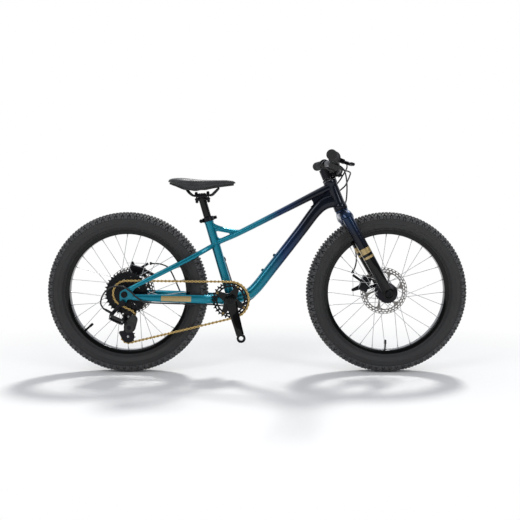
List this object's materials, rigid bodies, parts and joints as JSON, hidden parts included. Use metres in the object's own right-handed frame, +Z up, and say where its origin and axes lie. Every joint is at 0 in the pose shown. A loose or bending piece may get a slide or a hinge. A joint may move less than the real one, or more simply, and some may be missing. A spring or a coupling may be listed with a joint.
{
  "type": "kids mountain bike",
  "caption": "Rigid-fork hardtail bicycle with wide knobbly tyres, disc brakes, one chainring, a rear derailleur, a flat riser bar and a padded saddle.",
  "frame": {"origin": "on the ground, halfway between the two axles, on the bike's mid-plane", "axes": "+X towards the front wheel, +Y towards the rider's left, +Z up"},
  "size_m": [1.41, 0.5904, 0.7285],
  "materials": {
    "navy_paint": "gloss metallic",
    "teal_paint": "gloss metallic",
    "black_aluminium": "satin anodised",
    "rubber": "matt",
    "steel": "brushed",
    "silver_aluminium": "satin",
    "grey_aluminium": "satin",
    "gold_steel": "gold plated",
    "saddle_cover": "matt synthetic",
    "black_plastic": "matt"
  },
  "bodies": {
    "frame": {"head_tube": "navy_paint", "top_tube": "navy_paint", "down_tube": "teal_paint", "seat_tube": "teal_paint", "bottom_bracket_shell": "teal_paint", "chainstays": "teal_paint", "seatstays": "teal_paint", "dropout_right": "teal_paint", "dropout_left": "teal_paint", "seat_collar": "black_aluminium", "rear_axle": "black_aluminium", "rear_caliper": "black_aluminium", "bottom_bracket": "black_aluminium", "chain": "gold_steel", "shift_housing": "black_plastic", "rear_brake_housing": "black_plastic", "derailleur_b_knuckle": "black_aluminium"},
    "steering": {"fork_crown": "navy_paint", "fork_leg_right": "navy_paint", "fork_leg_left": "navy_paint", "stem": "black_aluminium", "stem_faceplate": "black_aluminium", "headset_spacer": "black_aluminium", "handlebar": "black_aluminium", "grip_right": "rubber", "grip_left": "rubber", "brake_perch_right": "black_aluminium", "brake_perch_left": "black_aluminium", "shifter_body": "black_plastic", "front_axle": "black_aluminium", "front_caliper": "black_aluminium", "front_brake_housing": "black_plastic"},
    "front_wheel": {"front_tyre": "rubber", "front_rim": "black_aluminium", "front_hub": "black_aluminium", "front_rotor": "steel"},
    "rear_wheel": {"rear_tyre": "rubber", "rear_rim": "black_aluminium", "rear_hub": "black_aluminium", "rear_rotor": "steel"},
    "cassette": {"cassette": "steel"},
    "crank": {"crank_arm_right": "black_aluminium", "crank_arm_left": "black_aluminium", "chainring": "black_aluminium"},
    "seat": {"seat_post": "black_aluminium", "saddle_rails": "steel", "saddle_base": "black_plastic", "saddle_pad": "saddle_cover"},
    "seat_lever": {"seat_lever": "black_aluminium"},
    "brake_lever_right": {"brake_lever_right": "black_aluminium"},
    "brake_lever_left": {"brake_lever_left": "black_aluminium"},
    "shift_lever": {"shift_lever": "black_plastic"},
    "front_caliper_arm": {"front_caliper_arm": "silver_aluminium"},
    "rear_caliper_arm": {"rear_caliper_arm": "silver_aluminium"},
    "link_outer": {"derailleur_link_outer": "grey_aluminium"},
    "link_inner": {"derailleur_link_inner": "black_aluminium"},
    "p_knuckle": {"derailleur_p_knuckle": "black_aluminium"},
    "cage": {"derailleur_cage": "black_aluminium"},
    "guide_pulley": {"guide_pulley": "black_plastic"},
    "tension_pulley": {"tension_pulley": "black_plastic"}
  },
  "joints": [
    {"name": "steering_turn", "type": "hinge", "parent": "frame", "child": "steering", "pos_m": [0.28078, 0, 0.5527], "axis": [-0.3827, 0, 0.9239], "range_deg": [-45, 45], "deforming": ["shift_housing", "rear_brake_housing"]},
    {"name": "front_wheel_spin", "type": "hinge", "parent": "steering", "child": "front_wheel", "pos_m": [0.435, 0, 0.27], "axis": [0, 1, 0], "continuous": true},
    {"name": "rear_wheel_spin", "type": "hinge", "parent": "frame", "child": "rear_wheel", "pos_m": [-0.435, 0, 0.27], "axis": [0, 1, 0], "continuous": true},
    {"name": "cassette_spin", "type": "hinge", "parent": "frame", "child": "cassette", "pos_m": [-0.435, 0, 0.27], "axis": [0, 1, 0], "continuous": true},
    {"name": "crank_spin", "type": "hinge", "parent": "frame", "child": "crank", "pos_m": [-0.0876, 0, 0.2486], "axis": [0, 1, 0], "continuous": true, "deforming": ["chain"]},
    {"name": "seat_height", "type": "slide", "parent": "frame", "child": "seat", "axis": [-0.2756, 0, 0.9613], "range_m": [-0.042, 0.03]},
    {"name": "seat_lever_turn", "type": "hinge", "parent": "frame", "child": "seat_lever", "pos_m": [-0.18682, 0.0196, 0.50935], "axis": [-0.2756, 0, 0.9613], "range_deg": [0, 110]},
    {"name": "brake_lever_right_pull", "type": "hinge", "parent": "steering", "child": "brake_lever_right", "pos_m": [0.26749, -0.15587, 0.69915], "axis": [-0.3899, 0.0656, -0.9185], "range_deg": [0, 15], "stiffness_Nm_per_rad": 1, "springref_deg": -17.19},
    {"name": "brake_lever_left_pull", "type": "hinge", "parent": "steering", "child": "brake_lever_left", "pos_m": [0.26749, 0.15587, 0.69915], "axis": [0.3899, 0.0656, 0.9185], "range_deg": [0, 15], "stiffness_Nm_per_rad": 1, "springref_deg": -17.19, "deforming": ["front_brake_housing"]},
    {"name": "shift_lever_push", "type": "hinge", "parent": "steering", "child": "shift_lever", "pos_m": [0.23559, -0.13393, 0.67071], "axis": [-0.3899, 0.0656, -0.9185], "range_deg": [0, 25], "stiffness_Nm_per_rad": 0.5, "springref_deg": -11.46},
    {"name": "front_caliper_arm_pull", "type": "hinge", "parent": "steering", "child": "front_caliper_arm", "pos_m": [0.366, 0.059, 0.285], "axis": [0, 1, 0], "range_deg": [0, 20], "deforming": ["front_brake_housing"]},
    {"name": "rear_caliper_arm_pull", "type": "hinge", "parent": "frame", "child": "rear_caliper_arm", "pos_m": [-0.424, 0.075, 0.334], "axis": [0, 1, 0], "range_deg": [0, 20], "deforming": ["rear_brake_housing"]},
    {"name": "link_outer_swing", "type": "hinge", "parent": "frame", "child": "link_outer", "pos_m": [-0.4777, -0.088, 0.2011], "axis": [0.3089, 0.6794, 0.6655], "range_deg": [-34, 28], "deforming": ["shift_housing"]},
    {"name": "link_inner_swing", "type": "hinge", "parent": "frame", "child": "link_inner", "pos_m": [-0.48228, -0.07626, 0.19124], "axis": [0.3089, 0.6794, 0.6655], "range_deg": [-34, 28]},
    {"name": "p_knuckle_turn", "type": "hinge", "parent": "link_outer", "child": "p_knuckle", "pos_m": [-0.44, -0.088, 0.1836], "axis": [0.3089, 0.6794, 0.6655], "range_deg": [-28, 34]},
    {"name": "cage_swing", "type": "hinge", "parent": "p_knuckle", "child": "cage", "pos_m": [-0.4203, -0.0468, 0.1606], "axis": [0, 1, 0], "range_deg": [-66, 80], "deforming": ["chain"]},
    {"name": "guide_pulley_spin", "type": "hinge", "parent": "cage", "child": "guide_pulley", "pos_m": [-0.4269, -0.0468, 0.1936], "axis": [0, 1, 0], "continuous": true},
    {"name": "tension_pulley_spin", "type": "hinge", "parent": "cage", "child": "tension_pulley", "pos_m": [-0.4289, -0.0468, 0.1269], "axis": [0, 1, 0], "continuous": true}
  ],
  "couplings": [
    {"joint": "cassette_spin", "follows": "crank_spin", "ratio": 1.4286},
    {"joint": "guide_pulley_spin", "follows": "crank_spin", "ratio": -2.7273},
    {"joint": "tension_pulley_spin", "follows": "crank_spin", "ratio": 2.7273},
    {"joint": "front_caliper_arm_pull", "follows": "brake_lever_left_pull", "ratio": 1.3},
    {"joint": "rear_caliper_arm_pull", "follows": "brake_lever_right_pull", "ratio": 1.3},
    {"joint": "link_inner_swing", "follows": "link_outer_swing", "ratio": 1},
    {"joint": "p_knuckle_turn", "follows": "link_outer_swing", "ratio": -1},
    {"joint": "cage_swing", "follows": "link_outer_swing", "ratio": -2.3}
  ]
}
